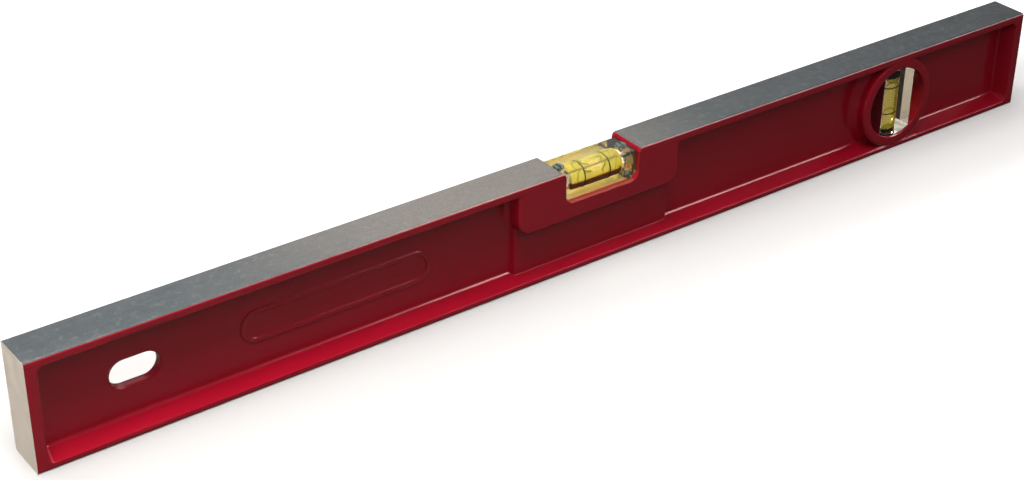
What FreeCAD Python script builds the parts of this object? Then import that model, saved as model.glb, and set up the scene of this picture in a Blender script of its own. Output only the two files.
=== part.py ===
import FreeCAD, Part
import Sketcher
import math
import os

# A cast-frame spirit level: a die-cast beam with machined working faces, a level vial
# in a notch in the top face and a plumb vial in a bore through the web.
# Frame: origin under the middle of the beam, X along it, -Y towards the front, +Z up.

os.makedirs("parts", exist_ok=True)
doc = FreeCAD.newDocument("SpiritLevel")

DRIVING_SIZES = [
    # The beam
    ("body_length", 600.0),
    ("body_width", 22.0),
    ("body_height", 56.0),
    ("long_edge_radius", 1.2),
    # The recessed panels, one on each side of the web
    ("web_thickness", 4.4),
    ("end_rim", 5.0),
    ("bottom_lip", 3.0),
    ("top_lip", 4.0),
    ("panel_corner_radius", 4.5),
    ("panel_low_radius", 3.9),
    ("panel_draft", 20.0),
    ("floor_bevel", 0.6),
    # The boss round the level vial and the raised pad under it
    ("boss_width", 98.0),
    ("boss_to_left", 1.0),
    ("boss_drop", 26.0),
    ("boss_corner_radius", 7.0),
    ("boss_draft", 8.0),
    ("boss_bevel", 0.8),
    ("boss_flare", 1.6),
    ("pad_rise", 2.6),
    ("pad_inset", 1.5),
    ("pad_draft", 30.0),
    ("pad_corner_radius", 2.5),
    ("pad_foot", 1.6),
    # The notch that holds the level vial block
    ("notch_width", 45.0),
    ("notch_depth", 17.2),
    ("notch_corner_radius", 5.0),
    ("notch_mouth_radius", 3.0),
    # The ring boss and its bore, which hold the plumb vial block
    ("ring_from_end", 95.5),
    ("ring_margin", 2.6),
    ("ring_wall", 5.4),
    ("ring_bevel", 0.8),
    ("ring_flare", 3.6),
    ("bore_bevel", 0.5),
    # The hang slot and the bare stadium frame cast on the front of the web
    ("slot_from_end", 52.0),
    ("slot_length", 24.5),
    ("slot_height", 14.0),
    ("plate_from_end", 153.7),
    ("plate_length", 101.0),
    ("plate_height", 17.0),
    ("plate_band", 2.2),
    ("plate_rise", 0.6),
    # The level vial block, its barrel and what the barrel holds
    ("fit_gap", 0.15),
    ("level_block_depth", 17.0),
    ("level_block_drop", 2.3),
    ("barrel_radius", 5.0),
    ("barrel_end_radius", 4.75),
    ("barrel_to_screws", 7.6),
    ("level_plug_length", 1.8),
    ("ring_spacing", 15.4),
    ("ring_band", 0.7),
    ("ring_depth", 0.2),
    ("ring_gap", 0.03),
    ("bubble_length", 13.6),
    ("bubble_depth", 3.4),
    ("bubble_film", 0.1),
    ("bubble_gap", 0.2),
    ("liquid_gap", 0.05),
    # The two screws that hold the level vial block down
    ("screw_to_edges", 6.4),
    ("screw_head_diameter", 5.8),
    ("screw_head_height", 1.7),
    ("screw_head_sunk", 0.8),
    ("screw_slot_width", 0.9),
    ("screw_slot_depth", 0.8),
    ("screw_diameter", 3.0),
    ("screw_length", 20.0),
    ("screw_gap", 0.1),
    ("seat_gap", 0.05),
    # The plumb vial block, its barrel and what the barrel holds
    ("plumb_block_width", 22.0),
    ("plumb_block_depth", 20.4),
    ("plumb_foot_margin", 3.0),
    ("plumb_top_margin", 6.8),
    ("plumb_plug_length", 4.0),
    ("plumb_foot_length", 2.1),
    ("plumb_bubble_depth", 3.2),
    ("plumb_bubble_taper", 1.0),
    ("plumb_bubble_radius", 4.4),
]

# Sizes that follow from the ones above
FOLLOWING_SIZES = [
    ("boss_bottom_z", "body_height - boss_drop"),
    ("sill_z", "body_height - notch_depth"),
    ("ring_x", "body_length/2 - ring_from_end"),
    ("ring_outer_radius", "body_height/2 - ring_margin"),
    ("ring_bore_radius", "ring_outer_radius - ring_wall"),
    ("slot_x", "slot_from_end - body_length/2"),
    ("plate_x", "plate_from_end - body_length/2"),
    ("screw_spacing", "notch_width - screw_to_edges"),
    ("level_barrel_length", "screw_spacing - barrel_to_screws"),
    ("plumb_barrel_bottom", "body_height/2 - ring_bore_radius + plumb_foot_margin"),
    ("plumb_barrel_top", "body_height/2 + ring_bore_radius - plumb_top_margin"),
]
NAMES = [alias for alias, entry in DRIVING_SIZES + FOLLOWING_SIZES]
TINY = 1e-5

sheet = doc.addObject("Spreadsheet::Sheet", "Sizes")
for row, (alias, entry) in enumerate(DRIVING_SIZES + FOLLOWING_SIZES, start=1):
    sheet.set(f"A{row}", alias)
    sheet.set(f"B{row}", f"={entry}" if isinstance(entry, str) else str(entry))
    sheet.setAlias(f"B{row}", alias)
doc.recompute()


def size(expression):
    """The number that an expression of sheet names stands for."""
    value = sheet.evalExpression(expression)
    return float(getattr(value, "Value", value))


def qualified(expression):
    """The same expression as an object outside the sheet reads it."""
    words = []
    word = ""
    for letter in expression + " ":
        if letter.isalnum() or letter == "_":
            word += letter
        else:
            words.append("Sizes." + word if word in NAMES else word)
            words.append(letter)
            word = ""
    return "".join(words).strip()


def bind(item, setting, expression):
    """Tie a setting of an object to an expression of sheet names."""
    item.setExpression(setting, qualified(expression))


# Places that several pieces share
FRONT = "body_width/2"
WEB = "web_thickness/2"
PAD = "(web_thickness/2 + pad_rise)"
LEVEL_BLOCK_TOP = "(body_height - level_block_drop)"
LEVEL_BLOCK_BOTTOM = "(sill_z + fit_gap)"
LEVEL_AXIS_Z = "((body_height - level_block_drop + sill_z + fit_gap)/2)"


def sketch_on(body, name, role, offset="0"):
    """A sketch on one of the body's own origin planes, moved along its normal."""
    plane = next(item for item in body.Origin.OriginFeatures if item.Role == role)
    sketch = body.newObject("Sketcher::SketchObject", name)
    sketch.AttachmentSupport = [(plane, "")]
    sketch.MapMode = "FlatFace"
    bind(sketch, "AttachmentOffset.Base.z", offset)
    return sketch


def dimension(sketch, kind, places, expression):
    """A driving dimension whose value comes from the sheet."""
    number = sketch.addConstraint(Sketcher.Constraint(kind, *places, size(expression)))
    name = f"size_{number}"
    sketch.renameConstraint(number, name)
    bind(sketch, "Constraints." + name, expression)


def add_line(sketch, start, end):
    """A straight edge between two places of the sketch."""
    edge = Part.LineSegment(FreeCAD.Vector(*start, 0), FreeCAD.Vector(*end, 0))
    return sketch.addGeometry(edge)


def add_arc(sketch, centre, radius, start, end):
    """An arc that turns from one angle to another, in degrees."""
    ring = Part.Circle(FreeCAD.Vector(*centre, 0), FreeCAD.Vector(0, 0, 1), radius)
    return sketch.addGeometry(Part.ArcOfCircle(ring, math.radians(start), math.radians(end)))


def close_smoothly(sketch, edges):
    """Join each edge of a closed outline to the next one in tangency."""
    for place, edge in enumerate(edges):
        following = edges[(place + 1) % len(edges)]
        sketch.addConstraint(Sketcher.Constraint("Tangent", edge, 2, following, 1))


def join_ends(sketch, edges, kind, places):
    """Join ends of edges, each given as edge, end, other edge, other end."""
    for one, one_end, other, other_end in places:
        ends = (edges[one], one_end, edges[other], other_end)
        sketch.addConstraint(Sketcher.Constraint(kind, *ends))


def align(sketch, edges, level, upright):
    """Hold some edges level and others upright."""
    for way, places in (("Horizontal", level), ("Vertical", upright)):
        for place in places:
            sketch.addConstraint(Sketcher.Constraint(way, edges[place]))


def rounded_rectangle(sketch, left, right, bottom, top, radius, low_radius):
    """A rectangle with two round corners at its top and two at its bottom."""
    x0, x1, y0, y1 = [size(item) for item in (left, right, bottom, top)]
    r, q = size(radius), size(low_radius)
    edges = [
        add_line(sketch, (x0 + q, y0), (x1 - q, y0)),
        add_arc(sketch, (x1 - q, y0 + q), q, 270, 360),
        add_line(sketch, (x1, y0 + q), (x1, y1 - r)),
        add_arc(sketch, (x1 - r, y1 - r), r, 0, 90),
        add_line(sketch, (x1 - r, y1), (x0 + r, y1)),
        add_arc(sketch, (x0 + r, y1 - r), r, 90, 180),
        add_line(sketch, (x0, y1 - r), (x0, y0 + q)),
        add_arc(sketch, (x0 + q, y0 + q), q, 180, 270),
    ]
    close_smoothly(sketch, edges)
    align(sketch, edges, (0, 4), (2, 6))
    sketch.addConstraint(Sketcher.Constraint("Equal", edges[1], edges[7]))
    sketch.addConstraint(Sketcher.Constraint("Equal", edges[3], edges[5]))
    dimension(sketch, "Radius", (edges[1],), low_radius)
    dimension(sketch, "Radius", (edges[3],), radius)
    dimension(sketch, "DistanceY", (-1, 1, edges[0], 1), bottom)
    dimension(sketch, "DistanceX", (-1, 1, edges[2], 1), right)
    dimension(sketch, "DistanceY", (-1, 1, edges[4], 1), top)
    dimension(sketch, "DistanceX", (-1, 1, edges[6], 1), left)


def closed_polygon(sketch, corners):
    """Straight edges from each corner to the next, with their ends joined."""
    following = corners[1:] + corners[:1]
    edges = [add_line(sketch, start, end) for start, end in zip(corners, following)]
    for edge, after in zip(edges, edges[1:] + edges[:1]):
        sketch.addConstraint(Sketcher.Constraint("Coincident", edge, 2, after, 1))
    return edges


def rectangle(sketch, left, right, bottom, top):
    """A rectangle with sharp corners."""
    x0, x1, y0, y1 = [size(item) for item in (left, right, bottom, top)]
    edges = closed_polygon(sketch, [(x0, y0), (x1, y0), (x1, y1), (x0, y1)])
    for edge, way in zip(edges, ("Horizontal", "Vertical") * 2):
        sketch.addConstraint(Sketcher.Constraint(way, edge))
    dimension(sketch, "DistanceY", (-1, 1, edges[0], 1), bottom)
    dimension(sketch, "DistanceX", (-1, 1, edges[1], 1), right)
    dimension(sketch, "DistanceY", (-1, 1, edges[2], 1), top)
    dimension(sketch, "DistanceX", (-1, 1, edges[3], 1), left)


def stadium(sketch, middle_x, middle_y, length, height):
    """Two straight edges joined by half circles."""
    x, y, long, high = [size(item) for item in (middle_x, middle_y, length, height)]
    reach = (long - high)/2
    r = high/2
    edges = [
        add_line(sketch, (x - reach, y - r), (x + reach, y - r)),
        add_arc(sketch, (x + reach, y), r, -90, 90),
        add_line(sketch, (x + reach, y + r), (x - reach, y + r)),
        add_arc(sketch, (x - reach, y), r, 90, 270),
    ]
    close_smoothly(sketch, edges)
    sketch.addConstraint(Sketcher.Constraint("Horizontal", edges[0]))
    dimension(sketch, "Radius", (edges[1],), f"{height}/2")
    dimension(sketch, "DistanceX", (-1, 1, edges[1], 3), f"{middle_x} + ({length} - {height})/2")
    dimension(sketch, "DistanceX", (-1, 1, edges[3], 3), f"{middle_x} - ({length} - {height})/2")
    dimension(sketch, "DistanceY", (-1, 1, edges[1], 3), middle_y)


def circle(sketch, middle_x, middle_y, radius):
    """A full circle."""
    x, y, r = [size(item) for item in (middle_x, middle_y, radius)]
    middle = FreeCAD.Vector(x, y, 0)
    edge = sketch.addGeometry(Part.Circle(middle, FreeCAD.Vector(0, 0, 1), r))
    dimension(sketch, "Radius", (edge,), radius)
    dimension(sketch, "DistanceX", (-1, 1, edge, 3), middle_x)
    dimension(sketch, "DistanceY", (-1, 1, edge, 3), middle_y)


def extrude(body, kind, name, sketch, length, taper="0", reverse=False):
    """A pad or pocket of a sketch, with a draft where it has one."""
    feature = body.newObject("PartDesign::" + kind, name)
    feature.Profile = sketch
    feature.Reversed = reverse
    bind(feature, "Length", length)
    bind(feature, "TaperAngle", taper)
    sketch.Visibility = False
    doc.recompute()
    return feature


def edges_where(shape, test):
    """Names of the edges whose ends and middle all pass a test."""
    found = []
    for number, edge in enumerate(shape.Edges, start=1):
        span = edge.LastParameter - edge.FirstParameter
        places = [edge.valueAt(edge.FirstParameter + share*span) for share in (0.0, 0.5, 1.0)]
        if all(test(place) for place in places):
            found.append(f"Edge{number}")
    return found


def treat_edges(body, kind, name, amount, test):
    """Fillet or chamfer the edges of the body so far that pass a test."""
    base = body.Tip
    feature = body.newObject("PartDesign::" + kind, name)
    feature.Base = (base, edges_where(base.Shape, test))
    bind(feature, "Radius" if kind == "Fillet" else "Size", amount)
    doc.recompute()
    return feature


def cup(sketch, left, right, bottom, top, radius):
    """A rectangle whose two lower corners are round and whose upper corners are sharp."""
    x0, x1, y0, y1, r = [size(item) for item in (left, right, bottom, top, radius)]
    edges = [
        add_line(sketch, (x0 + r, y0), (x1 - r, y0)),
        add_arc(sketch, (x1 - r, y0 + r), r, 270, 360),
        add_line(sketch, (x1, y0 + r), (x1, y1)),
        add_line(sketch, (x1, y1), (x0, y1)),
        add_line(sketch, (x0, y1), (x0, y0 + r)),
        add_arc(sketch, (x0 + r, y0 + r), r, 180, 270),
    ]
    join_ends(sketch, edges, "Tangent", [(0, 2, 1, 1), (1, 2, 2, 1), (4, 2, 5, 1), (5, 2, 0, 1)])
    join_ends(sketch, edges, "Coincident", [(2, 2, 3, 1), (3, 2, 4, 1)])
    align(sketch, edges, (0, 3), (2, 4))
    sketch.addConstraint(Sketcher.Constraint("Equal", edges[1], edges[5]))
    dimension(sketch, "Radius", (edges[1],), radius)
    dimension(sketch, "DistanceY", (-1, 1, edges[0], 1), bottom)
    dimension(sketch, "DistanceX", (-1, 1, edges[2], 1), right)
    dimension(sketch, "DistanceY", (-1, 1, edges[3], 1), top)
    dimension(sketch, "DistanceX", (-1, 1, edges[4], 1), left)


def notch_outline(sketch):
    """A notch with round lower corners and a mouth that rolls over into the top face."""
    half = size("notch_width/2")
    low = size("sill_z")
    high = size("body_height")
    r = size("notch_corner_radius")
    m = size("notch_mouth_radius")
    edges = [
        add_line(sketch, (r - half, low), (half - r, low)),
        add_arc(sketch, (half - r, low + r), r, 270, 360),
        add_line(sketch, (half, low + r), (half, high - m)),
        add_arc(sketch, (half + m, high - m), m, 90, 180),
        add_line(sketch, (half + m, high), (half + m, high + m)),
        add_line(sketch, (half + m, high + m), (-half - m, high + m)),
        add_line(sketch, (-half - m, high + m), (-half - m, high)),
        add_arc(sketch, (-half - m, high - m), m, 0, 90),
        add_line(sketch, (-half, high - m), (-half, low + r)),
        add_arc(sketch, (r - half, low + r), r, 180, 270),
    ]
    smooth = [(0, 2, 1, 1), (1, 2, 2, 1), (2, 2, 3, 2), (7, 1, 8, 1), (8, 2, 9, 1), (9, 2, 0, 1)]
    join_ends(sketch, edges, "Tangent", smooth)
    join_ends(sketch, edges, "Coincident", [(3, 1, 4, 1), (4, 2, 5, 1), (5, 2, 6, 1), (6, 2, 7, 2)])
    align(sketch, edges, (0, 5), (2, 4, 6, 8))
    sketch.addConstraint(Sketcher.Constraint("Equal", edges[1], edges[9]))
    sketch.addConstraint(Sketcher.Constraint("Equal", edges[3], edges[7]))
    sketch.addConstraint(Sketcher.Constraint("Vertical", edges[3], 3, edges[3], 1))
    sketch.addConstraint(Sketcher.Constraint("Vertical", edges[7], 3, edges[7], 2))
    dimension(sketch, "Radius", (edges[1],), "notch_corner_radius")
    dimension(sketch, "Radius", (edges[3],), "notch_mouth_radius")
    dimension(sketch, "DistanceY", (-1, 1, edges[0], 1), "sill_z")
    dimension(sketch, "DistanceX", (-1, 1, edges[2], 1), "notch_width/2")
    dimension(sketch, "DistanceX", (-1, 1, edges[8], 1), "0 - notch_width/2")
    for place in (3, 7):
        dimension(sketch, "DistanceY", (-1, 1, edges[place], 3), "body_height - notch_mouth_radius")
    dimension(sketch, "DistanceY", (-1, 1, edges[5], 1), "body_height + notch_mouth_radius")


def pinned_polygon(sketch, corners):
    """A closed polygon; each corner is a pair of sheet expressions."""
    edges = closed_polygon(sketch, [(size(x), size(y)) for x, y in corners])
    for edge, (x, y) in zip(edges, corners):
        dimension(sketch, "DistanceX", (-1, 1, edge, 1), x)
        dimension(sketch, "DistanceY", (-1, 1, edge, 1), y)


def barrel_outline(sketch, length, middle_radius, end_radius, tail):
    """Half the section of a barrel about the sketch's first axis.

    Its middle third is straight and widest, and both ends taper, so that the bubble rests
    in the middle. Past its right end it goes on, as wide as that end, for the tail's length.
    """
    reach, third = size(f"({length})/2"), size(f"({length})/6")
    wide, narrow = size(middle_radius), size(end_radius)
    far = size(f"({length})/2 + ({tail})")
    corners = [
        (-reach, 0), (far, 0), (far, narrow), (reach, narrow),
        (third, wide), (-third, wide), (-reach, narrow),
    ]
    edges = closed_polygon(sketch, corners)
    align(sketch, edges, (0, 2, 4), (1, 6))
    sketch.addConstraint(Sketcher.Constraint("PointOnObject", edges[0], 1, -1))
    dimension(sketch, "DistanceX", (-1, 1, edges[0], 1), f"0 - ({length})/2")
    dimension(sketch, "DistanceX", (-1, 1, edges[0], 2), f"({length})/2 + ({tail})")
    dimension(sketch, "DistanceX", (-1, 1, edges[3], 1), f"({length})/2")
    dimension(sketch, "DistanceY", (-1, 1, edges[3], 1), end_radius)
    dimension(sketch, "DistanceX", (-1, 1, edges[4], 1), f"({length})/6")
    dimension(sketch, "DistanceY", (-1, 1, edges[4], 1), middle_radius)
    dimension(sketch, "DistanceX", (-1, 1, edges[4], 2), f"0 - ({length})/6")
    dimension(sketch, "DistanceY", (-1, 1, edges[6], 1), end_radius)


def turn_about(body, kind, name, sketch, axis):
    """A full turn of a sketch about one of its own axes."""
    feature = body.newObject("PartDesign::" + kind, name)
    feature.Profile = sketch
    feature.ReferenceAxis = (sketch, [axis])
    feature.Angle = 360
    sketch.Visibility = False
    doc.recompute()
    return feature


def cylinder(name, radius, height, place, along="Z"):
    """A cylinder from a place along an axis; the place is three sheet expressions."""
    item = doc.addObject("Part::Cylinder", name)
    bind(item, "Radius", radius)
    bind(item, "Height", height)
    turns = {
        "X": FreeCAD.Rotation(FreeCAD.Vector(0, 1, 0), 90),
        "Y": FreeCAD.Rotation(FreeCAD.Vector(1, 0, 0), -90),
        "Z": FreeCAD.Rotation(),
    }
    item.Placement = FreeCAD.Placement(FreeCAD.Vector(), turns[along])
    for axis, expression in zip("xyz", place):
        bind(item, "Placement.Base." + axis, expression)
    return item


def combine(kind, name, pieces):
    """A cut, fusion, intersection or group of pieces, the first one being the base of a cut."""
    item = doc.addObject("Part::" + kind, name)
    if kind == "Cut":
        item.Base, item.Tool = pieces
    elif kind == "Compound":
        item.Links = pieces
    else:
        item.Shapes = pieces
    doc.recompute()
    return item


def mirrored(name, source, place, normal):
    """The mirror image of a piece about a plane."""
    item = doc.addObject("Part::Mirroring", name)
    item.Source = source
    item.Normal = FreeCAD.Vector(*normal)
    for axis, expression in zip("xyz", place):
        bind(item, "Base." + axis, expression)
    doc.recompute()
    return item


# The cast beam: a bar with round long edges
casting = doc.addObject("PartDesign::Body", "body_casting")
section = sketch_on(casting, "beam_section", "YZ_Plane")
long_edge = "long_edge_radius"
rounded_rectangle(section, f"0 - {FRONT}", FRONT, "0", "body_height", long_edge, long_edge)
beam = casting.newObject("PartDesign::Pad", "beam")
beam.Profile = section
beam.SideType = "Symmetric"
bind(beam, "Length", "body_length")
section.Visibility = False
doc.recompute()

# On each side of the web a drafted panel with bevelled floor edges
PANEL_DEPTH = "(body_width/2 - web_thickness/2)"
SIDES = (("front", "", True), ("back", "0 - ", False))
panel_edge = "body_length/2 - end_rim"
for side, sign, to_front in SIDES:
    panel = sketch_on(casting, side + "_panel_outline", "XZ_Plane", f"{sign}{FRONT}")
    panel_top = "body_height - top_lip"
    rounded_rectangle(panel, f"0 - ({panel_edge})", panel_edge, "bottom_lip", panel_top,
                      "panel_corner_radius", "panel_low_radius")
    extrude(casting, "Pocket", side + "_panel", panel, PANEL_DEPTH, "0 - panel_draft", not to_front)


def on_floor(place):
    """Whether a place lies where a panel's floor meets its wall."""
    return abs(abs(place.y) - size(WEB)) < TINY and abs(place.x) < size(panel_edge)


treat_edges(casting, "Chamfer", "floor_edges", "floor_bevel", on_floor)


def web_plate(name, left, right, bottom, top):
    """A body that starts as a piece of the web, for a form that flares out of it."""
    body = doc.addObject("PartDesign::Body", name)
    sketch = sketch_on(body, name + "_plate_outline", "XZ_Plane", WEB)
    rectangle(sketch, left, right, bottom, top)
    extrude(body, "Pad", name + "_plate", sketch, "web_thickness", "0", True)
    return body


def base_edge(left, right, bottom):
    """A test for edges of the form at the web, inside the plate's own outline."""
    def test(place):
        inside = size(left) + TINY < place.x < size(right) - TINY
        above = place.z > size(bottom) + TINY
        return abs(abs(place.y) - size(WEB)) < TINY and inside and above
    return test


def face_rim(depth):
    """A test for edges of the form on its faces, which lie this far from the beam's middle."""
    def test(place):
        return abs(abs(place.y) - size(depth)) < TINY
    return test


def trim_form(body, left, right, ranges):
    """Cut a form away from side to side over some ranges of height."""
    sketch = sketch_on(body, body.Name + "_trim_outline", "XZ_Plane", FRONT)
    for bottom, top in ranges:
        rectangle(sketch, left, right, bottom, top)
    extrude(body, "Pocket", body.Name + "_trim", sketch, "body_width")


# The boss round the level vial, flush with both faces, with a bevelled edge and a flared base
boss_left = "0 - boss_width/2 - boss_to_left"
boss_right = "boss_width/2 - boss_to_left"
boss_low = "boss_bottom_z - 3*boss_flare"
boss_plate = (f"{boss_left} - 3*boss_flare", f"{boss_right} + 3*boss_flare")
BOSS_TOP = "(body_height - top_lip/2)"
boss_form = web_plate("boss_form", *boss_plate, boss_low, "2*body_height")
for side, sign, to_front in SIDES:
    boss = sketch_on(boss_form, side + "_boss_outline", "XZ_Plane", f"{sign}{FRONT}")
    boss_top = "1.5*body_height"
    rounded_rectangle(boss, boss_left, boss_right, "boss_bottom_z", boss_top,
                      "boss_corner_radius", "boss_corner_radius")
    extrude(boss_form, "Pad", side + "_boss", boss, PANEL_DEPTH, "boss_draft", to_front)
treat_edges(boss_form, "Chamfer", "boss_base", "boss_flare", base_edge(*boss_plate, boss_low))
treat_edges(boss_form, "Chamfer", "boss_edges", "boss_bevel", face_rim(FRONT))
trim_form(boss_form, *boss_plate, [(BOSS_TOP, "2*body_height")])

# The raised pad under the boss
pad_left = f"{boss_left} + pad_inset"
pad_right = f"{boss_right} - pad_inset"
pad_low = "bottom_lip + pad_foot"
pad_plate = (f"{boss_left} - 3*pad_rise", f"{boss_right} + 3*pad_rise")
pad_form = web_plate("pad_form", *pad_plate, "long_edge_radius", BOSS_TOP)
for side, sign, to_front in SIDES:
    pad = sketch_on(pad_form, side + "_pad_outline", "XZ_Plane", f"{sign}{PAD}")
    pad_top = "boss_bottom_z + boss_corner_radius"
    rounded_rectangle(pad, pad_left, pad_right, pad_low, pad_top,
                      "pad_corner_radius", "pad_corner_radius")
    extrude(pad_form, "Pad", side + "_pad", pad, "pad_rise", "pad_draft", to_front)

# The ring boss, trimmed where its flare would pass the beam's top and bottom
ring_form = doc.addObject("PartDesign::Body", "ring_form")
ring = sketch_on(ring_form, "ring_section", "XY_Plane", "body_height/2")
bind(ring, "AttachmentOffset.Base.x", "ring_x")
pinned_polygon(ring, [
    ("ring_bore_radius/2", f"0 - {FRONT}"),
    ("ring_outer_radius - ring_bevel", f"0 - {FRONT}"),
    ("ring_outer_radius", f"ring_bevel - {FRONT}"),
    ("ring_outer_radius", f"0 - {WEB} - ring_flare"),
    ("ring_outer_radius + ring_flare", f"0 - {WEB}"),
    ("ring_outer_radius + ring_flare", WEB),
    ("ring_outer_radius", f"{WEB} + ring_flare"),
    ("ring_outer_radius", f"{FRONT} - ring_bevel"),
    ("ring_outer_radius - ring_bevel", FRONT),
    ("ring_bore_radius/2", FRONT),
])
turn_about(ring_form, "Revolution", "ring", ring, "V_Axis")
over_and_under = [
    ("body_height - long_edge_radius", "1.5*body_height"),
    ("0 - body_height/2", "long_edge_radius"),
]
trim_form(ring_form, "ring_x - body_height", "ring_x + body_height", over_and_under)

forms = casting.newObject("PartDesign::Boolean", "side_forms")
forms.Type = "Fuse"
forms.setObjects([boss_form, pad_form, ring_form])
doc.recompute()

# The bare stadium frame on the front of the web
band = sketch_on(casting, "frame_outline", "XZ_Plane", "web_thickness/2 + plate_rise")
stadium(band, "plate_x", "body_height/2", "plate_length", "plate_height")
inner_length = "plate_length - 2*plate_band"
inner_height = "plate_height - 2*plate_band"
stadium(band, "plate_x", "body_height/2", f"({inner_length})", f"({inner_height})")
extrude(casting, "Pad", "stadium_frame", band, "plate_rise + web_thickness/4", "0", True)

# Openings cut from side to side: the notch, the bore and the hang slot
notch = sketch_on(casting, "notch_outline", "XZ_Plane", FRONT)
notch_outline(notch)
extrude(casting, "Pocket", "notch", notch, "body_width")
bore = sketch_on(casting, "bore_outline", "XZ_Plane", FRONT)
circle(bore, "ring_x", "body_height/2", "ring_bore_radius")
extrude(casting, "Pocket", "bore", bore, "body_width")


def on_bore_rim(place):
    """Whether a place lies on the rim of the bore, at a face of the beam."""
    away = math.hypot(place.x - size("ring_x"), place.z - size("body_height/2"))
    at_face = abs(abs(place.y) - size(FRONT)) < TINY
    return at_face and abs(away - size("ring_bore_radius")) < TINY


treat_edges(casting, "Chamfer", "bore_edges", "bore_bevel", on_bore_rim)
slot = sketch_on(casting, "slot_outline", "XZ_Plane", FRONT)
stadium(slot, "slot_x", "body_height/2", "slot_length", "slot_height")
extrude(casting, "Pocket", "hang_slot", slot, "body_width")

# Two blind holes in the sill for the screws
SCREW_X = "screw_spacing/2"
SCREW_HEAD_FLOOR = f"({LEVEL_BLOCK_TOP} - screw_head_sunk)"
SCREW_TIP = f"({SCREW_HEAD_FLOOR} - screw_length)"
HOLE_TOP = "(sill_z + notch_corner_radius)"
holes = sketch_on(casting, "screw_hole_outlines", "XY_Plane", HOLE_TOP)
for sign in ("", "0 - "):
    circle(holes, f"{sign}{SCREW_X}", "0", "screw_diameter/2 + screw_gap")
extrude(casting, "Pocket", "screw_holes", holes, f"{HOLE_TOP} - {SCREW_TIP} + screw_diameter/2")

# The level vial block: clear plastic that stands on the sill and holds the barrel
level_block = doc.addObject("PartDesign::Body", "level_vial_block")
outline = sketch_on(level_block, "block_outline", "XZ_Plane", "level_block_depth/2")
block_edge = "notch_width/2 - fit_gap"
block_corner = "notch_corner_radius - fit_gap"
cup(outline, f"0 - ({block_edge})", block_edge, LEVEL_BLOCK_BOTTOM, LEVEL_BLOCK_TOP, block_corner)
extrude(level_block, "Pad", "block", outline, "level_block_depth", "0", True)

barrel = sketch_on(level_block, "barrel_section", "XZ_Plane")
bind(barrel, "AttachmentOffset.Base.y", LEVEL_AXIS_Z)
tail = f"({block_edge} - level_barrel_length/2)"
barrel_outline(barrel, "level_barrel_length", "barrel_radius", "barrel_end_radius", tail)
turn_about(level_block, "Groove", "barrel", barrel, "H_Axis")

grooves = sketch_on(level_block, "ring_groove_sections", "XZ_Plane")
bind(grooves, "AttachmentOffset.Base.y", LEVEL_AXIS_Z)
GROOVE_HALF = "(ring_band/2 + ring_gap)"
for sign in ("", "0 - "):
    left = f"{sign}ring_spacing/2 - {GROOVE_HALF}"
    right = f"{sign}ring_spacing/2 + {GROOVE_HALF}"
    rectangle(grooves, left, right, "barrel_end_radius", "barrel_radius + ring_depth + ring_gap")
turn_about(level_block, "Groove", "ring_grooves", grooves, "H_Axis")

seats = sketch_on(level_block, "screw_seat_outlines", "XY_Plane", LEVEL_BLOCK_TOP)
through = sketch_on(level_block, "screw_way_outlines", "XY_Plane", LEVEL_BLOCK_TOP)
for sign in ("", "0 - "):
    circle(seats, f"{sign}{SCREW_X}", "0", "screw_head_diameter/2 + screw_gap")
    circle(through, f"{sign}{SCREW_X}", "0", "screw_diameter/2 + screw_gap")
extrude(level_block, "Pocket", "screw_seats", seats, "screw_head_sunk + seat_gap")
extrude(level_block, "Pocket", "screw_ways", through, "body_height")

# The plug that closes the barrel's open end, domed on its outer side
level_plug = doc.addObject("PartDesign::Body", "level_vial_plug")
plug_section = sketch_on(level_plug, "plug_section", "XZ_Plane")
bind(plug_section, "AttachmentOffset.Base.y", LEVEL_AXIS_Z)
plug_start = "level_barrel_length/2"
plug_radius = "barrel_end_radius - liquid_gap"
rectangle(plug_section, plug_start, f"{plug_start} + level_plug_length", "0", plug_radius)
turn_about(level_plug, "Revolution", "plug", plug_section, "H_Axis")


def on_plug_dome(place):
    """Whether a place lies on the rim of the plug's outer end."""
    return place.x > size(f"{plug_start} + level_plug_length") - TINY


treat_edges(level_plug, "Chamfer", "plug_dome", "level_plug_length/2", on_plug_dome)

# The bubble of the level vial: a lens under the top of the barrel
BUBBLE_WALL = "(barrel_end_radius - bubble_film)"
bubble_tube = cylinder(
    "bubble_tube", BUBBLE_WALL, "bubble_length", ("0 - bubble_length/2", "0", LEVEL_AXIS_Z), "X")
BUBBLE_TOP = f"({LEVEL_AXIS_Z} + {BUBBLE_WALL})"
LENS_RADIUS = "((bubble_length*bubble_length/4 + bubble_depth*bubble_depth)/(2*bubble_depth))"
LENS_MIDDLE = f"({BUBBLE_TOP} - bubble_depth + {LENS_RADIUS})"
lens_start = ("0", "0 - barrel_radius", LENS_MIDDLE)
bubble_lens = cylinder("bubble_lens", LENS_RADIUS, "2*barrel_radius", lens_start, "Y")
level_bubble = combine("MultiCommon", "level_bubble", [bubble_tube, bubble_lens])

# The liquid of the level vial: the barrel's inside without the room for the bubble
level_filling = doc.addObject("PartDesign::Body", "level_filling")
filling = sketch_on(level_filling, "filling_section", "XZ_Plane")
bind(filling, "AttachmentOffset.Base.y", LEVEL_AXIS_Z)
filling_middle = "barrel_radius - liquid_gap"
filling_end = "barrel_end_radius - liquid_gap"
filling_length = "level_barrel_length - 4*liquid_gap"
barrel_outline(filling, filling_length, filling_middle, filling_end, "liquid_gap")
turn_about(level_filling, "Revolution", "filling", filling, "H_Axis")
bubble_room = cylinder(
    "bubble_room", f"{LENS_RADIUS} + bubble_gap", "2*barrel_radius", lens_start, "Y")
level_liquid = combine("Cut", "level_vial_liquid", [level_filling, bubble_room])

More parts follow.
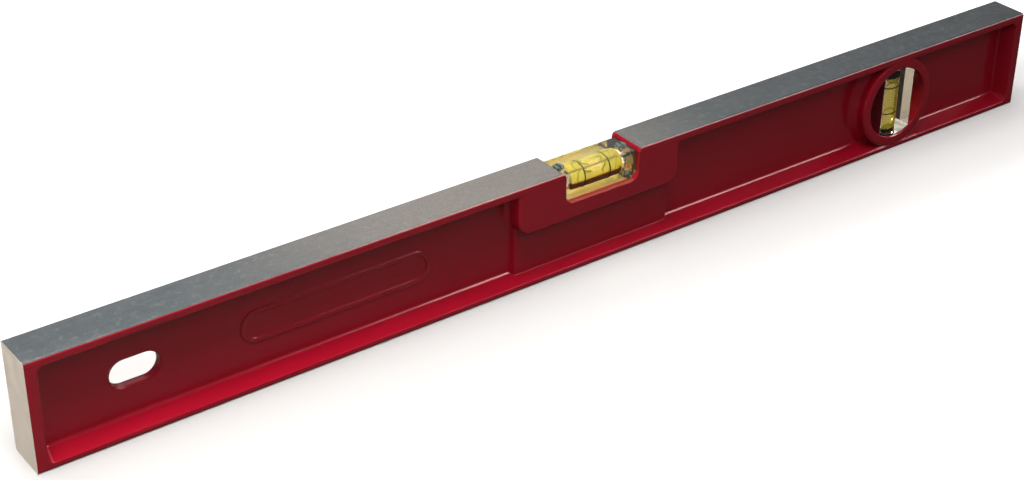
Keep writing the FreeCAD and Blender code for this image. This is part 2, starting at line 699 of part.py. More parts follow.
# The two index rings of the level vial, set in the barrel's wall
ring_start = ("ring_spacing/2 - ring_band/2", "0", LEVEL_AXIS_Z)
ring_outer = cylinder("ring_outer", "barrel_radius + ring_depth", "ring_band", ring_start, "X")
ring_inner = cylinder("ring_inner", "barrel_radius", "ring_band", ring_start, "X")
right_ring = combine("Cut", "right_index_ring", [ring_outer, ring_inner])
left_ring = mirrored("left_index_ring", right_ring, ("0", "0", "0"), (1, 0, 0))
level_rings = combine("Compound", "level_index_rings", [left_ring, right_ring])

# The slotted screws that hold the level vial block on its sill
right_screw = doc.addObject("PartDesign::Body", "right_screw")
shank = sketch_on(right_screw, "shank_outline", "XY_Plane", SCREW_TIP)
circle(shank, SCREW_X, "0", "screw_diameter/2")
extrude(right_screw, "Pad", "shank", shank, "screw_length + screw_head_height/2")
head = sketch_on(right_screw, "head_outline", "XY_Plane", SCREW_HEAD_FLOOR)
circle(head, SCREW_X, "0", "screw_head_diameter/2")
extrude(right_screw, "Pad", "head", head, "screw_head_height")


def on_head_rim(place):
    """Whether a place lies on the rim of the screw head's top."""
    return place.z > size(f"{SCREW_HEAD_FLOOR} + screw_head_height") - TINY


def on_screw_tip(place):
    """Whether a place lies on the rim of the shank's lower end."""
    return place.z < size(SCREW_TIP) + TINY


treat_edges(right_screw, "Chamfer", "head_bevel", "screw_head_height/3", on_head_rim)
treat_edges(right_screw, "Chamfer", "shank_point", "screw_diameter/4", on_screw_tip)
head_slot = sketch_on(right_screw, "head_slot_outline", "XY_Plane", f"{SCREW_HEAD_FLOOR} + screw_head_height")
slot_reach = "screw_head_diameter"
slot_side = "screw_slot_width/2"
rectangle(head_slot, f"{SCREW_X} - {slot_side}", f"{SCREW_X} + {slot_side}",
          f"0 - {slot_reach}", slot_reach)
extrude(right_screw, "Pocket", "head_slot", head_slot, "screw_slot_depth")
left_screw = mirrored("left_screw", right_screw, ("0", "0", "0"), (1, 0, 0))
screws = combine("Compound", "vial_block_screws", [left_screw, right_screw])

# The plumb vial block: a clear disc with two flat sides and an upright barrel
PLUMB_RADIUS = "(ring_bore_radius - fit_gap)"
MIDDLE_Z = "body_height/2"
disc_start = ("ring_x", "0 - plumb_block_depth/2", MIDDLE_Z)
disc = cylinder("plumb_disc", PLUMB_RADIUS, "plumb_block_depth", disc_start, "Y")
flats = doc.addObject("Part::Box", "plumb_flats")
bind(flats, "Length", "plumb_block_width")
bind(flats, "Width", "plumb_block_depth")
bind(flats, "Height", "body_height")
bind(flats, "Placement.Base.x", "ring_x - plumb_block_width/2")
bind(flats, "Placement.Base.y", "0 - plumb_block_depth/2")
plumb_blank = combine("MultiCommon", "plumb_blank", [disc, flats])
plumb_way = cylinder("plumb_way", "barrel_radius", "body_height", ("ring_x", "0", "0"))
RING_RISE = f"({MIDDLE_Z} + ring_spacing/2 - ring_band/2)"
GROOVE_RISE = f"({RING_RISE} - ring_gap)"
groove_top = cylinder("upper_groove", "barrel_radius + ring_depth + ring_gap",
                      "ring_band + 2*ring_gap", ("ring_x", "0", GROOVE_RISE))
groove_low = mirrored("lower_groove", groove_top, ("0", "0", MIDDLE_Z), (0, 0, 1))
plumb_room = combine("MultiFuse", "plumb_room", [plumb_way, groove_top, groove_low])
plumb_block = combine("Cut", "plumb_vial_block", [plumb_blank, plumb_room])

# Its plugs, bubble, liquid and index rings
PLUG_RADIUS = "(barrel_radius - liquid_gap)"
top_plug_start = ("ring_x", "0", "plumb_barrel_top")
top_plug = cylinder("plumb_vial_plug_top", PLUG_RADIUS, "plumb_plug_length", top_plug_start)
low_plug_start = ("ring_x", "0", "plumb_barrel_bottom - plumb_foot_length")
low_plug = cylinder("plumb_vial_plug_bottom", PLUG_RADIUS, "plumb_foot_length", low_plug_start)
plumb_bubble = doc.addObject("Part::Cone", "plumb_bubble")
plumb_room_for_bubble = doc.addObject("Part::Cone", "plumb_bubble_room")
for item, gap in ((plumb_bubble, "0"), (plumb_room_for_bubble, "bubble_gap")):
    bind(item, "Radius1", f"plumb_bubble_radius - plumb_bubble_taper + {gap}")
    bind(item, "Radius2", f"plumb_bubble_radius + {gap}")
    bind(item, "Height", f"plumb_bubble_depth + {gap}")
    bind(item, "Placement.Base.x", "ring_x")
    bind(item, "Placement.Base.z", f"plumb_barrel_top - liquid_gap - plumb_bubble_depth - {gap}")
plumb_column = cylinder("plumb_column", PLUG_RADIUS,
                        "plumb_barrel_top - plumb_barrel_bottom - 2*liquid_gap",
                        ("ring_x", "0", "plumb_barrel_bottom + liquid_gap"))
plumb_liquid = combine("Cut", "plumb_vial_liquid", [plumb_column, plumb_room_for_bubble])
upper_start = ("ring_x", "0", RING_RISE)
upper_outer = cylinder("upper_ring_outer", "barrel_radius + ring_depth", "ring_band", upper_start)
upper_inner = cylinder("upper_ring_inner", "barrel_radius", "ring_band", upper_start)
upper_ring = combine("Cut", "upper_index_ring", [upper_outer, upper_inner])
lower_ring = mirrored("lower_index_ring", upper_ring, ("0", "0", MIDDLE_Z), (0, 0, 1))
plumb_rings = combine("Compound", "plumb_index_rings", [lower_ring, upper_ring])

NODES = {
    "body_casting": casting,
    "level_vial_block": level_block,
    "level_vial_plug": level_plug,
    "level_vial_liquid": level_liquid,
    "level_bubble": level_bubble,
    "level_index_rings": level_rings,
    "vial_block_screws": screws,
    "plumb_vial_block": plumb_block,
    "plumb_vial_plug_top": top_plug,
    "plumb_vial_plug_bottom": low_plug,
    "plumb_vial_liquid": plumb_liquid,
    "plumb_bubble": plumb_bubble,
    "plumb_index_rings": plumb_rings,
}

doc.recompute()
for item in doc.Objects:
    if "Invalid" in item.State or "Error" in item.State:
        raise ValueError(f"{item.Name} did not build: {item.State}")
for node, item in NODES.items():
    shape = item.Shape
    if shape.isNull() or not shape.isValid() or not shape.Solids:
        raise ValueError(f"{node} has no sound solid")
    item.Label = node
for node, item in NODES.items():
    item.Shape.exportStep(f"parts/{node}.step")
    print(node, len(item.Shape.Solids), round(item.Shape.Volume, 1), item.Shape.BoundBox)
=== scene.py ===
import math

import bmesh
import bpy
from mathutils import Matrix, Vector


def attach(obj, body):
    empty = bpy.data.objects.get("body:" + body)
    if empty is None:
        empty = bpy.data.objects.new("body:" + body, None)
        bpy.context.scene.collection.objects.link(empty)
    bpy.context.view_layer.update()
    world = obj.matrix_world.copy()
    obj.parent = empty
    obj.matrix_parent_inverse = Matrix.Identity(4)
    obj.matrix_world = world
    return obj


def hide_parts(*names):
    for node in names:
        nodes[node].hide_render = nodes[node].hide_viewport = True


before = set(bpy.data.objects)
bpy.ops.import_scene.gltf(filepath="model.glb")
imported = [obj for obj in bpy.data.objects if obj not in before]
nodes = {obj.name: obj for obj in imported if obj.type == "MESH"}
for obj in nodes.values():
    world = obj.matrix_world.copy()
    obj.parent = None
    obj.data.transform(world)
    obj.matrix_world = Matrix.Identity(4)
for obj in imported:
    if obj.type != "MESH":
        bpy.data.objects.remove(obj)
scene = bpy.context.scene
MM = 0.001


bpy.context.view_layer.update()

# Places on the level, in metres
PLUMB_X = 0.2045
RING_Z = 0.028
LEVEL_Z = 0.046325
NOTCH_HALF = 0.0225


# Shader helpers

class Shader:
    """A material's nodes, with short ways to add and join them."""

    def __init__(self, name):
        self.material = bpy.data.materials.new(name)
        self.material.use_nodes = True
        self.tree = self.material.node_tree
        self.tree.nodes.clear()
        self.out = self.add("ShaderNodeOutputMaterial")

    def add(self, kind, **settings):
        node = self.tree.nodes.new(kind)
        for key, value in settings.items():
            setattr(node, key, value)
        return node

    def join(self, source, target):
        self.tree.links.new(source, target)

    def feed(self, socket, value):
        """Sets a socket to a number or a colour, or links another socket to it."""
        if isinstance(value, bpy.types.NodeSocket):
            self.join(value, socket)
        elif isinstance(value, (int, float)):
            socket.default_value = value
        else:
            value = tuple(value)
            if len(value) == 3 and len(socket.default_value) == 4:
                value = value + (1.0,)
            socket.default_value = value

    def math(self, operation, *values):
        node = self.add("ShaderNodeMath", operation=operation)
        for socket, value in zip(node.inputs, values):
            self.feed(socket, value)
        return node.outputs[0]

    def under(self, value, limit):
        return self.math("LESS_THAN", value, limit)

    def over(self, value, limit):
        return self.math("GREATER_THAN", value, limit)

    def within(self, value, low, high):
        """One where a value lies between two others, else nought."""
        return self.both(self.over(value, low), self.under(value, high))

    def both(self, *masks):
        result = masks[0]
        for mask in masks[1:]:
            result = self.math("MULTIPLY", result, mask)
        return result

    def either(self, *masks):
        result = masks[0]
        for mask in masks[1:]:
            result = self.math("MAXIMUM", result, mask)
        return result

    def share(self, mask, part):
        return self.math("MULTIPLY", mask, part)

    def distance(self, first, second):
        squares = [self.math("MULTIPLY", item, item) for item in (first, second)]
        return self.math("SQRT", self.math("ADD", *squares))

    def between(self, value, low, high, start=0.0, end=1.0):
        """Goes smoothly from start to end as a value goes from low to high."""
        node = self.add("ShaderNodeMapRange", interpolation_type="SMOOTHSTEP")
        for key, item in (("Value", value), ("From Min", low), ("From Max", high),
                          ("To Min", start), ("To Max", end)):
            self.feed(node.inputs[key], item)
        return node.outputs[0]

    def mix(self, factor, first, second):
        node = self.add("ShaderNodeMix", data_type="RGBA")
        self.feed(node.inputs[0], factor)
        self.feed(node.inputs[6], first)
        self.feed(node.inputs[7], second)
        return node.outputs[2]

    def place(self, scale=(1, 1, 1)):
        """Where a point lies in its object, so that patterns move with the piece."""
        coordinates = self.add("ShaderNodeTexCoord")
        mapping = self.add("ShaderNodeMapping")
        mapping.inputs["Scale"].default_value = scale
        self.join(coordinates.outputs["Object"], mapping.inputs["Vector"])
        return mapping.outputs[0]

    def split(self, vector):
        node = self.add("ShaderNodeSeparateXYZ")
        self.join(vector, node.inputs[0])
        return node.outputs

    def noise(self, size, detail=3.0, rough=0.5, stretch=(1, 1, 1)):
        """Noise whose patches are about `size` metres wide."""
        node = self.add("ShaderNodeTexNoise")
        node.inputs["Scale"].default_value = 1.0
        node.inputs["Detail"].default_value = detail
        node.inputs["Roughness"].default_value = rough
        self.join(self.place([s/size for s in stretch]), node.inputs["Vector"])
        return node.outputs[0]

    def bump(self, height, distance, strength=1.0, normal=None):
        node = self.add("ShaderNodeBump")
        node.inputs["Strength"].default_value = strength
        node.inputs["Distance"].default_value = distance
        self.join(height, node.inputs["Height"])
        if normal is not None:
            self.join(normal, node.inputs["Normal"])
        return node.outputs[0]

    def bevel(self, radius, samples=6):
        node = self.add("ShaderNodeBevel", samples=samples)
        self.feed(node.inputs["Radius"], radius)
        return node.outputs[0]

    def principled(self, **settings):
        node = self.add("ShaderNodeBsdfPrincipled")
        for key, value in settings.items():
            self.feed(node.inputs[key.replace("_", " ")], value)
        return node.outputs[0]

    def plain(self, kind, colour):
        """A diffuse, translucent or transparent shader."""
        node = self.add(kind)
        self.feed(node.inputs["Color"], colour)
        return node.outputs[0]

    def light_path(self, ray):
        return self.add("ShaderNodeLightPath").outputs[ray]

    def mix_shaders(self, factor, first, second):
        node = self.add("ShaderNodeMixShader")
        self.feed(node.inputs[0], factor)
        self.join(first, node.inputs[1])
        self.join(second, node.inputs[2])
        return node.outputs[0]

    def add_shaders(self, first, second):
        node = self.add("ShaderNodeAddShader")
        self.join(first, node.inputs[0])
        self.join(second, node.inputs[1])
        return node.outputs[0]

    def finish(self, surface, volume=None):
        self.join(surface, self.out.inputs["Surface"])
        if volume is not None:
            self.join(volume, self.out.inputs["Volume"])
        return self.material


def put_on(obj, material):
    obj.data.materials.clear()
    obj.data.materials.append(material)


# The casting: red enamel, with bare milled metal on its top, bottom and ends

def bare_faces(s, x, y, z, facing_up):
    """The milled faces; the top's metal ends in a wandering line beside the rim."""
    milled_half, wander_size = 0.01075, 0.0004
    wander = s.share(s.math("SUBTRACT", s.noise(0.006, 4.0, 0.6), 0.5), wander_size)
    milled = s.under(s.math("ABSOLUTE", y), s.math("ADD", wander, milled_half))
    top = s.both(s.over(facing_up, 0.5), s.over(z, 0.0553), milled)
    level = s.over(s.math("ABSOLUTE", facing_up), 0.9995)
    bottom = s.both(level, s.under(z, 0.0002))
    end = s.over(s.math("ABSOLUTE", x), 0.29995)
    return s.either(top, bottom, end), end


def rounding(s, x, y, z, high_edge):
    """How far the look of a round edge reaches, in metres."""
    usual, soft_radius, corner_radius = 0.0008, 0.0022, 0.0016
    edge_radius, no_limit = 0.0003, 0.01
    from_ring = s.distance(s.math("SUBTRACT", x, PLUMB_X), s.math("SUBTRACT", z, RING_Z))
    ring = s.within(from_ring, 0.0215, 0.031)
    boss_left = s.both(s.within(x, -0.056, -0.045), s.over(z, 0.035))
    slot = s.within(x, -0.263, -0.233)
    soft = s.either(ring, boss_left, slot)
    low_corner = s.both(
        s.under(x, -0.0535), s.under(z, 0.015), s.under(s.math("ABSOLUTE", y), 0.0095))
    radius = s.between(soft, 0.0, 1.0, usual, soft_radius)
    radius = s.math("MAXIMUM", radius, s.share(low_corner, corner_radius))
    return s.math("MINIMUM", radius, s.between(high_edge, 0.0, 1.0, no_limit, edge_radius))


def enamel(s, x, y, z, facing_up):
    high_edge = s.both(s.over(z, 0.0535), s.over(s.math("ABSOLUTE", y), 0.009))
    sill = s.both(
        s.under(s.math("ABSOLUTE", x), NOTCH_HALF), s.within(z, 0.0362, 0.0394),
        s.over(facing_up, 0.3))
    peel = s.noise(0.0016, 3.0, 0.55)
    waves = s.noise(0.02, 2.0, 0.5)
    normal = s.bevel(rounding(s, x, y, z, high_edge), samples=8)
    normal = s.bump(peel, 0.00003, 1.0, normal)
    normal = s.bump(waves, 0.0004, 0.5, normal)
    red = s.mix(s.noise(0.05, 3.0, 0.6), (0.31, 0.0028, 0.014), (0.37, 0.004, 0.019))
    red = s.mix(s.share(sill, 0.6), red, (0.16, 0.035, 0.012))
    pits = s.noise(0.0005, 2.0, 0.6)
    rough = s.between(pits, 0.3, 0.7, 0.17, 0.23)
    rough = s.math("ADD", rough, s.share(s.either(high_edge, sill), 0.2))
    return s.principled(
        Base_Color=red, Roughness=rough, Specular_IOR_Level=0.5,
        Coat_Weight=0.2, Coat_Roughness=0.1, Normal=normal)


def milled_metal(s, x, end):
    """Grey metal with marks across the beam. Its tone along the beam is painted light: a painted
    reflection, warm in the middle and blue grey at the left end, and painted shade, dark to the
    right.
    """
    cross = s.noise(0.0012, 4.0, 0.65, (0.05, 0.4, 1))
    fine = s.noise(0.0006, 2.0, 0.6)
    patch = s.noise(0.012, 5.0, 0.65)
    blotch = s.noise(0.004, 4.0, 0.7)
    specks = s.between(fine, 0.45, 0.7)
    # Painted reflection: warm in the middle of the beam, blue grey towards the left end, with
    # random patches.
    warm = s.math("MINIMUM", s.between(x, -0.24, -0.08), s.between(x, 0.1, -0.03))
    warm = s.math("ADD", warm, s.share(s.math("SUBTRACT", patch, 0.5), 0.5))
    grey = s.mix(warm, (0.068, 0.086, 0.094), (0.225, 0.202, 0.182))
    for mask, part, colour in (
            # Painted shade: darker towards the right end.
            (s.between(x, 0.0, 0.25), 0.6, (0.036, 0.05, 0.06)),
            (cross, 0.2, (0.36, 0.35, 0.34)),
            (specks, 0.35, (0.04, 0.045, 0.05)),
            (s.between(blotch, 0.5, 0.75), 0.3, (0.3, 0.32, 0.31))):
        grey = s.mix(s.share(mask, part), grey, colour)
    # Painted light: the end faces are much paler than the top, standing for the floor's light
    # they reflect.
    pale = s.mix(patch, (0.5, 0.45, 0.39), (0.68, 0.63, 0.56))
    pale = s.mix(s.share(specks, 0.3), pale, (0.3, 0.27, 0.24))
    normal = s.bump(fine, 0.00001, 0.5, s.bump(cross, 0.00002, 0.6))
    return s.principled(
        Base_Color=s.mix(end, grey, pale), Metallic=0.45,
        Roughness=s.between(patch, 0.3, 0.7, 0.36, 0.48), Normal=normal)


def grainy(s, grain, dark, light, rough=0.6, **settings):
    return s.principled(Base_Color=s.mix(grain, dark, light), Roughness=rough, **settings)


def casting():
    s = Shader("red_enamel")
    x, y, z = s.split(s.place())
    facing_up = s.split(s.add("ShaderNodeNewGeometry").outputs["True Normal"])[2]
    bare, end = bare_faces(s, x, y, z, facing_up)
    surface = s.mix_shaders(bare, enamel(s, x, y, z, facing_up), milled_metal(s, x, end))
    grain = s.noise(0.0012, 4.0, 0.65)
    # The notch's faces beside and under the block, seen only through it, are painted khaki.
    khaki_notch = grainy(
        s, grain, (0.5, 0.4, 0.12), (0.68, 0.55, 0.22), 0.7, Normal=s.bump(grain, 0.0001, 0.5))
    beside_block = s.both(
        s.under(s.math("ABSOLUTE", x), NOTCH_HALF + 0.0002), s.within(y, -0.005, 0.006),
        s.within(z, 0.0385, 0.053))
    return s.finish(s.mix_shaders(beside_block, surface, khaki_notch))


# The clear blocks, their liquids and their air

def clear_plastic(s, wetted):
    """Scuffed acrylic; the wall that the barrel's filling touches has no face of its own."""
    scuff = s.noise(0.0009, 4.0, 0.7, (0.3, 1, 1))
    glass = s.principled(
        Base_Color=(0.96, 0.93, 0.84), Roughness=s.between(scuff, 0.55, 0.8, 0.01, 0.06),
        IOR=1.49, Transmission_Weight=1.0,
        Normal=s.bump(s.noise(0.008, 2.0, 0.5), 0.00006, 0.3))
    shade = s.plain("ShaderNodeBsdfTransparent", (0.9, 0.86, 0.74))
    glass = s.mix_shaders(s.light_path("Is Shadow Ray"), glass, shade)
    clear = s.plain("ShaderNodeBsdfTransparent", (1, 1, 1))
    return s.mix_shaders(wetted, glass, clear)


def acrylic(name, barrel, inside_low, inside_high):
    """A vial's block, with what shows through its hidden faces painted on them."""
    s = Shader(name)
    x, y, z = s.split(s.place())
    grain = s.noise(0.0012, 4.0, 0.65)
    if barrel == "level":
        low = s.under(z, 0.03925)
        right_end = s.over(x, 0.0176)
        coated = s.both(low, s.under(x, 0.0176))
        khaki = grainy(s, grain, (0.29, 0.26, 0.1), (0.46, 0.42, 0.19), 0.7)
        rusty = grainy(s, grain, (0.22, 0.03, 0.012), (0.42, 0.14, 0.03))
        coat = s.mix_shaders(s.between(y, -0.0045, -0.0062), khaki, rusty)
        behind = s.either(low, s.over(y, 0.0078))
        shaded = s.either(s.over(s.math("ABSOLUTE", x), 0.0222), s.both(right_end, behind))
        along = x
        away = s.distance(y, s.math("SUBTRACT", z, LEVEL_Z))
    else:
        coated = s.under(x, 0.1936)
        coat = grainy(s, grain, (0.13, 0.008, 0.012), (0.2, 0.014, 0.02))
        shaded = s.both(s.over(x, 0.2154), s.over(y, 0.003))
        along = z
        away = s.distance(y, s.math("SUBTRACT", x, PLUMB_X))
    dim = grainy(s, grain, (0.008, 0.007, 0.005), (0.05, 0.04, 0.022))
    wetted = s.both(s.under(away, 0.00535), s.within(along, inside_low, inside_high))
    surface = s.mix_shaders(shaded, clear_plastic(s, wetted), dim)
    return s.finish(s.mix_shaders(coated, surface, coat))


def liquid(name, band):
    """Yellow spirit; its dye glows a little, and a brown band of painted shade, standing for the
    dark sill seen through the liquid, may lie low in front.
    """
    s = Shader(name)
    y, z = s.split(s.place())[1:]
    cloud = s.noise(0.004, 3.0, 0.5)
    glow = s.plain(
        "ShaderNodeBsdfTranslucent", s.mix(cloud, (0.74, 0.76, 0.035), (0.9, 0.92, 0.07)))
    dye = s.mix_shaders(0.5, glow, s.plain("ShaderNodeBsdfDiffuse", (0.8, 0.82, 0.055)))
    glass = s.principled(
        Base_Color=(1, 1, 1), Roughness=0.0, IOR=1.36/1.49, Transmission_Weight=1.0)
    body = s.mix_shaders(0.3, glass, dye)
    # Painted shade: the brown band low in front stands for the dark sill seen through the
    # liquid.
    low_front = s.both(s.under(y, 0.0), s.within(z, 0.0414, 0.0458))
    brown = s.plain(
        "ShaderNodeBsdfDiffuse", s.mix(cloud, (0.07, 0.024, 0.009), (0.13, 0.047, 0.018)))
    body = s.mix_shaders(s.share(low_front, band), body, brown)
    shade = s.plain("ShaderNodeBsdfTransparent", (0.96, 0.86, 0.3))
    surface = s.mix_shaders(s.light_path("Is Shadow Ray"), body, shade)
    absorb = s.add("ShaderNodeVolumeAbsorption")
    absorb.inputs["Color"].default_value = (0.97, 0.9, 0.06, 1)
    absorb.inputs["Density"].default_value = 100.0
    return s.finish(surface, absorb.outputs[0])


def air(name, outlined):
    """Air in the liquid; the level bubble has a pale painted reflection along its sides and a
    dark painted shade line at its tips.
    """
    s = Shader(name)
    haze = s.noise(0.003, 2.0, 0.5)
    glass = s.principled(
        Base_Color=(1, 1, 1), Roughness=s.between(haze, 0.4, 0.7, 0.0, 0.02), IOR=1.0/1.36,
        Transmission_Weight=1.0)
    if outlined:
        x, y = s.split(s.place())[:2]
        half_length, half_width = 0.0068, 0.0042
        end_share = s.math("DIVIDE", x, half_length)
        out = s.distance(end_share, s.math("DIVIDE", y, half_width))
        # Painted reflection: pale along the bubble's sides.
        painted_sheen = s.plain(
            "ShaderNodeBsdfDiffuse", s.mix(haze, (0.42, 0.33, 0.25), (0.56, 0.45, 0.36)))
        rim = s.between(s.math("ABSOLUTE", y), 0.0016, 0.003)
        glass = s.mix_shaders(s.share(rim, 0.8), glass, painted_sheen)
        # Painted shade: a dark line at the bubble's tips.
        tip = s.between(s.math("ABSOLUTE", end_share), 0.35, 0.6)
        line = s.plain("ShaderNodeBsdfDiffuse", (0.04, 0.03, 0.012))
        glass = s.mix_shaders(s.both(tip, s.between(out, 0.82, 0.93)), glass, line)
    shade = s.plain("ShaderNodeBsdfTransparent", (1, 1, 1))
    return s.finish(s.mix_shaders(s.light_path("Is Shadow Ray"), glass, shade))


# The small pieces

def dark_ink():
    s = Shader("dark_ink")
    return s.finish(grainy(
        s, s.noise(0.0008, 3.0, 0.6), (0.006, 0.007, 0.004), (0.02, 0.02, 0.012), 0.5,
        Specular_IOR_Level=0.05))


def blued_steel():
    s = Shader("blued_steel")
    mottle = s.noise(0.0007, 4.0, 0.6)
    return s.finish(grainy(
        s, mottle, (0.04, 0.07, 0.07), (0.34, 0.47, 0.44), s.between(mottle, 0.2, 0.8, 0.2, 0.4),
        Metallic=0.85, Normal=s.bump(mottle, 0.00002, 0.5, s.bevel(0.00015))))


def black_plastic():
    s = Shader("black_plastic")
    mottle = s.noise(0.0007, 3.0, 0.6)
    return s.finish(grainy(
        s, mottle, (0.004, 0.004, 0.003), (0.012, 0.011, 0.008), 0.35,
        Specular_IOR_Level=0.12, Normal=s.bump(mottle, 0.00002, 0.4)))


def pale_plastic():
    s = Shader("pale_plastic")
    return s.finish(grainy(
        s, s.noise(0.002, 3.0, 0.6), (0.6, 0.52, 0.34), (0.7, 0.62, 0.44), 0.25,
        Subsurface_Weight=0.4, Subsurface_Radius=(0.003, 0.002, 0.001), Subsurface_Scale=1.0))


put_on(nodes["body_casting"], casting())
put_on(nodes["level_vial_block"], acrylic("level_acrylic", "level", -0.0157, 0.0155))
put_on(nodes["plumb_vial_block"], acrylic("plumb_acrylic", "plumb", 0.0089, 0.0452))
put_on(nodes["level_index_rings"], dark_ink())
put_on(nodes["plumb_index_rings"], dark_ink())
put_on(nodes["vial_block_screws"], blued_steel())
put_on(nodes["plumb_vial_plug_top"], black_plastic())
put_on(nodes["plumb_vial_plug_bottom"], black_plastic())
put_on(nodes["level_vial_plug"], pale_plastic())


# The liquids and bubbles, as smooth closed shapes

def skin(name, rings, around, transform):
    """A closed, smooth object through rings of points, with one point at each end."""
    mesh = bpy.data.meshes.new(name)
    builder = bmesh.new()
    rings = [[builder.verts.new(point) for point in ring] for ring in rings]
    for first, second in zip(rings, rings[1:]):
        for n in range(around):
            corners = []
            for ring, place in ((first, n), (second, n), (second, n + 1), (first, n + 1)):
                corner = ring[place % around % len(ring)]
                if corner not in corners:
                    corners.append(corner)
            builder.faces.new(corners)
    bmesh.ops.recalc_face_normals(builder, faces=builder.faces)
    builder.to_mesh(mesh)
    builder.free()
    mesh.transform(transform)
    mesh.polygons.foreach_set("use_smooth", [True]*len(mesh.polygons))
    obj = bpy.data.objects.new(name, mesh)
    scene.collection.objects.link(obj)
    return obj


def circle(around):
    turns = [2*math.pi*n/around for n in range(around)]
    return [(math.cos(turn), math.sin(turn)) for turn in turns]


def lathe(name, profile, origin, axis, around=96):
    """A turned shape: the profile is (distance along the axis, radius) in metres."""
    rings = []
    for along, radius in profile:
        points = circle(around) if radius > 0.0 else [(0.0, 0.0)]
        rings.append([(along, radius*px, radius*py) for px, py in points])
    turned = Matrix.Rotation(-math.pi/2, 4, "Y") if axis == "Z" else Matrix.Identity(4)
    return skin(name, rings, around, Matrix.Translation(origin) @ turned)


def rounded_profile(start, end, radius_at, corner, steps=24):
    """A filling's outline from one end to the other, with rounded rims."""
    turns = [math.pi/2*n/8 for n in range(9)]
    low = radius_at(start + corner)
    high = radius_at(end - corner)
    profile = [(start, 0.0)]
    for turn in turns:
        profile.append((start + corner*(1 - math.cos(turn)), low - corner*(1 - math.sin(turn))))
    for n in range(1, steps):
        along = start + corner + (end - start - 2*corner)*n/steps
        profile.append((along, radius_at(along)))
    for turn in turns:
        profile.append((end - corner*(1 - math.sin(turn)), high - corner*(1 - math.cos(turn))))
    profile.append((end, 0.0))
    return profile


def lens_bubble(name, middle, length, width, depth, wall):
    """A bubble pressed up against the round wall above it."""
    around, levels = 64, 14
    bulge, wall_dip, floor_rise = 0.62, 0.16*MM, 0.35*MM
    rings = []
    for level in range(levels + 1):
        turn = math.pi*level/levels
        spread = math.sin(turn)**bulge
        drop = (1 - math.cos(turn))/2
        ring = []
        for px, py in [(0.0, 0.0)] if level in (0, levels) else circle(around):
            x = length/2*spread*px
            y = width/2*spread*py
            end_share = x/(length/2)
            ceiling = math.sqrt(max(wall*wall - y*y, 0)) - wall_dip*end_share**2
            floor = min(wall - depth + floor_rise*end_share**2, ceiling)
            ring.append((x, y, ceiling + (floor - ceiling)*drop))
        rings.append(ring)
    return skin(name, rings, around, Matrix.Translation(middle))


def level_radius(along):
    """The level barrel's radius: it narrows a little towards its ends."""
    share = along/(15.5*MM)
    return (5.0 - 0.25*share*share)*MM


LEVEL_AXIS = Vector((0, 0, LEVEL_Z))
PLUMB_AXIS = Vector((PLUMB_X, 0, 0))

level_fill = lathe(
    "level_liquid_body", rounded_profile(-15.45*MM, 15.45*MM, level_radius, 1.2*MM),
    LEVEL_AXIS, "X")
put_on(level_fill, liquid("level_yellow_liquid", 1.0))
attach(level_fill, "beam")
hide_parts("level_vial_liquid")

plumb_fill = lathe(
    "plumb_liquid_body", rounded_profile(11.03*MM, 41.17*MM, lambda along: 4.97*MM, 0.6*MM),
    PLUMB_AXIS, "Z")
put_on(plumb_fill, liquid("plumb_yellow_liquid", 0.0))
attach(plumb_fill, "beam")
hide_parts("plumb_vial_liquid")

level_air = lens_bubble("level_air_bubble", LEVEL_AXIS, 13.6*MM, 8.4*MM, 3.2*MM, 4.7*MM)
put_on(level_air, air("level_air", True))
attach(level_air, "level_air")
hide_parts("level_bubble")

plumb_profile = [(38.1*MM, 0.0)]
for n in range(1, 17):
    turn = math.pi/2*n/16
    plumb_profile.append((38.1*MM + 2.0*MM*(1 - math.cos(turn)), 4.6*MM*math.sin(turn)))
plumb_profile += [(40.8*MM, 4.7*MM), (41.05*MM, 4.5*MM), (41.1*MM, 4.2*MM), (41.1*MM, 0.0)]
plumb_air = lathe("plumb_air_bubble", plumb_profile, PLUMB_AXIS, "Z")
put_on(plumb_air, air("plumb_air", False))
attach(plumb_air, "plumb_air")
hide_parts("plumb_bubble")


# Floor, light and camera

def pale_paper():
    """White to the camera; beige through the clear pieces and dim in the enamel's gloss."""
    s = Shader("studio_floor")
    seen = s.light_path("Is Camera Ray")
    passed = s.light_path("Is Transmission Ray")
    x, y = s.split(s.place())[:2]
    past_end = s.math("MAXIMUM", s.math("SUBTRACT", s.math("ABSOLUTE", x), 0.3), 0.0)
    # Painted shade: close to the beam the camera's lift fades out, and the paper there is darker
    # towards the left, where the lamps are brighter, so a darker pool lies around the beam as
    # well as its cast shadow.
    clear_of_it = s.between(s.distance(past_end, y), 0.03, 0.15)
    near = s.mix(s.between(x, -0.4, 0.9), (0.38, 0.375, 0.37), (0.8, 0.79, 0.785))
    colour = s.mix(passed, (0.09, 0.085, 0.08), (0.4, 0.355, 0.3))
    paper = s.plain("ShaderNodeBsdfDiffuse", s.mix(seen, colour, near))
    lift = s.add("ShaderNodeEmission")
    glow = s.math("ADD", s.between(x, -0.2, 0.4, 0.08, 0.26), s.share(clear_of_it, 0.8))
    s.feed(lift.inputs["Strength"], s.both(seen, glow))
    return s.finish(s.add_shaders(paper, lift.outputs[0]))


FLOOR_HALF = 6
corners = [(x*FLOOR_HALF, y*FLOOR_HALF, 0) for x, y in ((-1, -1), (1, -1), (1, 1), (-1, 1))]
floor_mesh = bpy.data.meshes.new("studio_floor")
floor_mesh.from_pydata(corners, [], [(0, 1, 2, 3)])
studio_floor = bpy.data.objects.new("studio_floor", floor_mesh)
scene.collection.objects.link(studio_floor)
put_on(studio_floor, pale_paper())

# The world: which ray sees which colour, and how strongly
SKIES = (
    (None, (1.0, 0.99, 0.98), 0.22),
    ("Is Glossy Ray", (0.9, 0.95, 1.0), 0.08),
    ("Is Transmission Ray", (0.9, 0.85, 0.76), 0.52),
    ("Is Camera Ray", (1, 1, 1), 1.0))

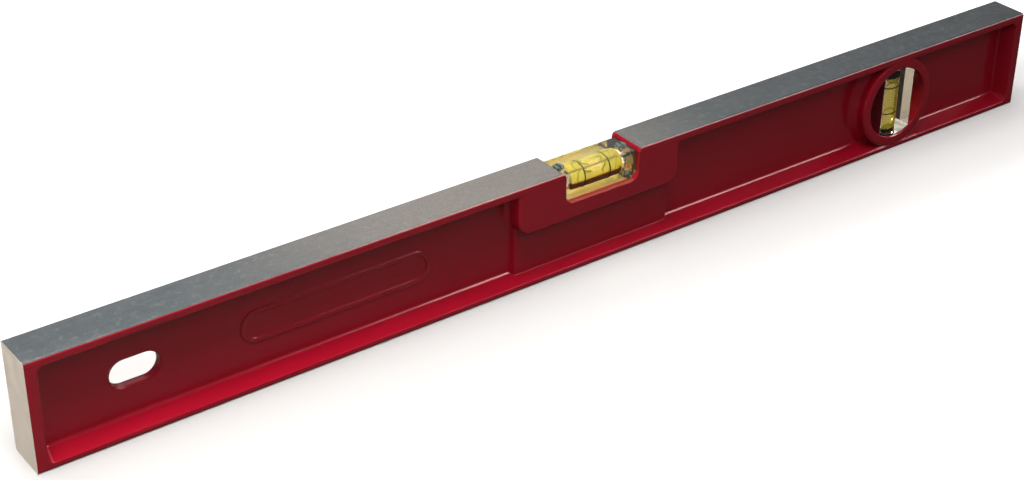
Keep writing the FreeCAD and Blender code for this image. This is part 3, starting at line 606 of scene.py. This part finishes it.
world = bpy.data.worlds.new("studio")
scene.world = world
world.use_nodes = True
tree = world.node_tree
tree.nodes.clear()
path = tree.nodes.new("ShaderNodeLightPath")
shown = None
for ray, colour, strength in SKIES:
    part = tree.nodes.new("ShaderNodeBackground")
    part.inputs["Color"].default_value = (*colour, 1)
    part.inputs["Strength"].default_value = strength
    if shown is None:
        shown = part.outputs[0]
        continue
    choose = tree.nodes.new("ShaderNodeMixShader")
    tree.links.new(path.outputs[ray], choose.inputs[0])
    tree.links.new(shown, choose.inputs[1])
    tree.links.new(part.outputs[0], choose.inputs[2])
    shown = choose.outputs[0]
output = tree.nodes.new("ShaderNodeOutputWorld")
tree.links.new(shown, output.inputs["Surface"])


def area_light(name, place, target, size, power, colour, spread=math.pi):
    data = bpy.data.lights.new(name, "AREA")
    data.shape = "RECTANGLE"
    data.size, data.size_y = size
    data.energy = power
    data.color = colour
    data.spread = spread
    lamp = bpy.data.objects.new(name, data)
    lamp.visible_camera = False
    scene.collection.objects.link(lamp)
    way = (Vector(target) - Vector(place)).to_track_quat("-Z", "Y")
    lamp.matrix_world = Matrix.Translation(place) @ way.to_matrix().to_4x4()
    return lamp


MIDDLE = (0, 0, 0)
WARM_WHITE = (1.0, 0.985, 0.97)
SOFT_WHITE = (1.0, 0.98, 0.96)
strip = area_light(
    "strip_light", (1.48, -1.3, 1.25), (0, 0, 0.03), (1.3, 0.5), 46, (1.0, 0.68, 0.65))
strip.visible_diffuse = False
left = area_light(
    "left_light", (-0.4, -0.15, 1.25), (-0.38, 0, 0), (0.6, 0.6), 4.0, WARM_WHITE,
    math.radians(60))
left.visible_glossy = False
area_light("top_light", (-0.2, 0.45, 1.9), MIDDLE, (1.2, 0.7), 17.5, WARM_WHITE)
area_light(
    "end_light", (-0.6, 0.0, 0.03), (-0.3, 0.0, 0.03), (0.05, 0.05), 0.98, (1.0, 0.95, 0.89))
key = area_light("key_light", (-0.4, -1.4, 1.75), MIDDLE, (1.0, 0.8), 9.8, SOFT_WHITE)
key.visible_glossy = False
area_light("back_light", (1.6, 2.0, 1.35), MIDDLE, (2.0, 1.4), 6.6, SOFT_WHITE)

# The camera: its place and the three directions of its frame, fitted to the photo
CAMERA_PLACE = (-0.5351684, -0.6601967, 0.5077325)
CAMERA_RIGHT = (0.8066785, -0.5909312, 0.0083746)
CAMERA_UP = (0.2948810, 0.4147409, 0.8608340)
CAMERA_BACK = (-0.5121670, -0.6919468, 0.5088169)

camera = bpy.data.cameras.new("photo_camera")
camera.sensor_width = 36.0
camera.lens = 69.583
camera.clip_start = 0.01
camera_object = bpy.data.objects.new("photo_camera", camera)
scene.collection.objects.link(camera_object)
facing = Matrix((CAMERA_RIGHT, CAMERA_UP, CAMERA_BACK)).transposed().to_4x4()
camera_object.matrix_world = Matrix.Translation(CAMERA_PLACE) @ facing
scene.camera = camera_object

scene.view_settings.view_transform = "Standard"
